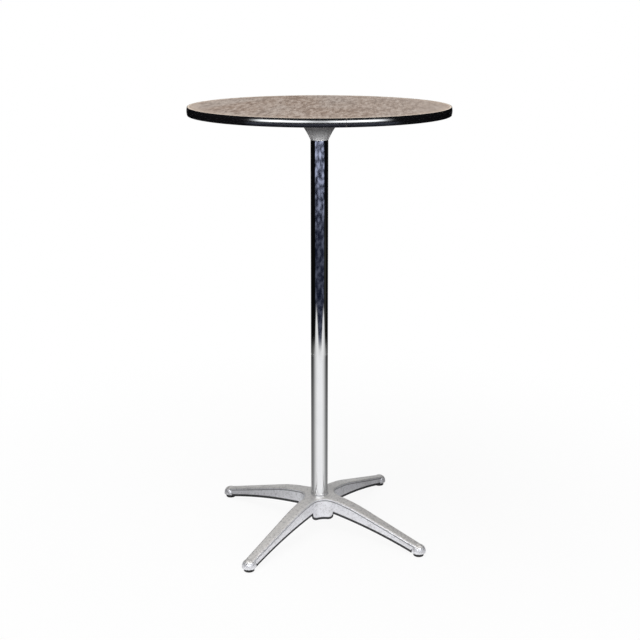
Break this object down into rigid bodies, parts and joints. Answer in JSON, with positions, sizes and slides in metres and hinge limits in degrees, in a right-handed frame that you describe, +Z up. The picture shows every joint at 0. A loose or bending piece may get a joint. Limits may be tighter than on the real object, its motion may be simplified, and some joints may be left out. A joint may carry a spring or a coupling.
{
  "type": "pub table",
  "caption": "Tall round stand-up table: plywood disc with black edge moulding, trumpet hub, single chromed column and a cast base with splayed legs on levelling glides.",
  "frame": {"origin": "on the floor, on the column's axis", "axes": "+Z up, +Y towards the back, +X to the right; the legs lie on the diagonals between X and Y"},
  "size_m": [0.614, 0.614, 1.067],
  "materials": {
    "sealed_plywood": "clear satin sealer, weathered grey-brown",
    "black_vinyl": "glossy extruded vinyl",
    "cast_aluminium": "tumbled satin casting",
    "chromed_tube": "bright chrome plate on steel tube",
    "zinc_plated_steel": "bright zinc plate",
    "black_nylon": "moulded nylon"
  },
  "bodies": {
    "table": {"top_panel": "sealed_plywood", "edge_moulding": "black_vinyl", "top_hub": "cast_aluminium", "hub_screws": "zinc_plated_steel", "column_tube": "chromed_tube", "tie_rod": "zinc_plated_steel", "rod_jam_nut": "zinc_plated_steel", "base_casting": "cast_aluminium", "clamp_washer": "zinc_plated_steel", "lock_washer": "zinc_plated_steel", "clamp_nut": "zinc_plated_steel", "glide_insert_front_left": "zinc_plated_steel", "glide_insert_front_right": "zinc_plated_steel", "glide_insert_back_left": "zinc_plated_steel", "glide_insert_back_right": "zinc_plated_steel"},
    "pad_front_left": {"glide_pad_front_left": "black_nylon"},
    "stud_front_left": {"glide_stud_front_left": "zinc_plated_steel"},
    "pad_front_right": {"glide_pad_front_right": "black_nylon"},
    "stud_front_right": {"glide_stud_front_right": "zinc_plated_steel"},
    "pad_back_left": {"glide_pad_back_left": "black_nylon"},
    "stud_back_left": {"glide_stud_back_left": "zinc_plated_steel"},
    "pad_back_right": {"glide_pad_back_right": "black_nylon"},
    "stud_back_right": {"glide_stud_back_right": "zinc_plated_steel"}
  },
  "joints": [
    {"name": "glide_travel_front_left", "type": "slide", "parent": "table", "child": "pad_front_left", "axis": [0, 0, 1], "range_m": [-0.006, 0.0009]},
    {"name": "glide_turn_front_left", "type": "hinge", "parent": "pad_front_left", "child": "stud_front_left", "pos_m": [-0.20789, -0.20789, 0], "axis": [0, 0, 1], "range_deg": [-1740, 265]},
    {"name": "glide_travel_front_right", "type": "slide", "parent": "table", "child": "pad_front_right", "axis": [0, 0, 1], "range_m": [-0.006, 0.0009]},
    {"name": "glide_turn_front_right", "type": "hinge", "parent": "pad_front_right", "child": "stud_front_right", "pos_m": [0.20789, -0.20789, 0], "axis": [0, 0, 1], "range_deg": [-1740, 265]},
    {"name": "glide_travel_back_left", "type": "slide", "parent": "table", "child": "pad_back_left", "axis": [0, 0, 1], "range_m": [-0.006, 0.0009]},
    {"name": "glide_turn_back_left", "type": "hinge", "parent": "pad_back_left", "child": "stud_back_left", "pos_m": [-0.20789, 0.20789, 0], "axis": [0, 0, 1], "range_deg": [-1740, 265]},
    {"name": "glide_travel_back_right", "type": "slide", "parent": "table", "child": "pad_back_right", "axis": [0, 0, 1], "range_m": [-0.006, 0.0009]},
    {"name": "glide_turn_back_right", "type": "hinge", "parent": "pad_back_right", "child": "stud_back_right", "pos_m": [0.20789, 0.20789, 0], "axis": [0, 0, 1], "range_deg": [-1740, 265]}
  ],
  "couplings": [
    {"joint": "glide_turn_front_left", "follows": "glide_travel_front_left", "rad_per_m": 5026.5},
    {"joint": "glide_turn_front_right", "follows": "glide_travel_front_right", "rad_per_m": 5026.5},
    {"joint": "glide_turn_back_left", "follows": "glide_travel_back_left", "rad_per_m": 5026.5},
    {"joint": "glide_turn_back_right", "follows": "glide_travel_back_right", "rad_per_m": 5026.5}
  ]
}
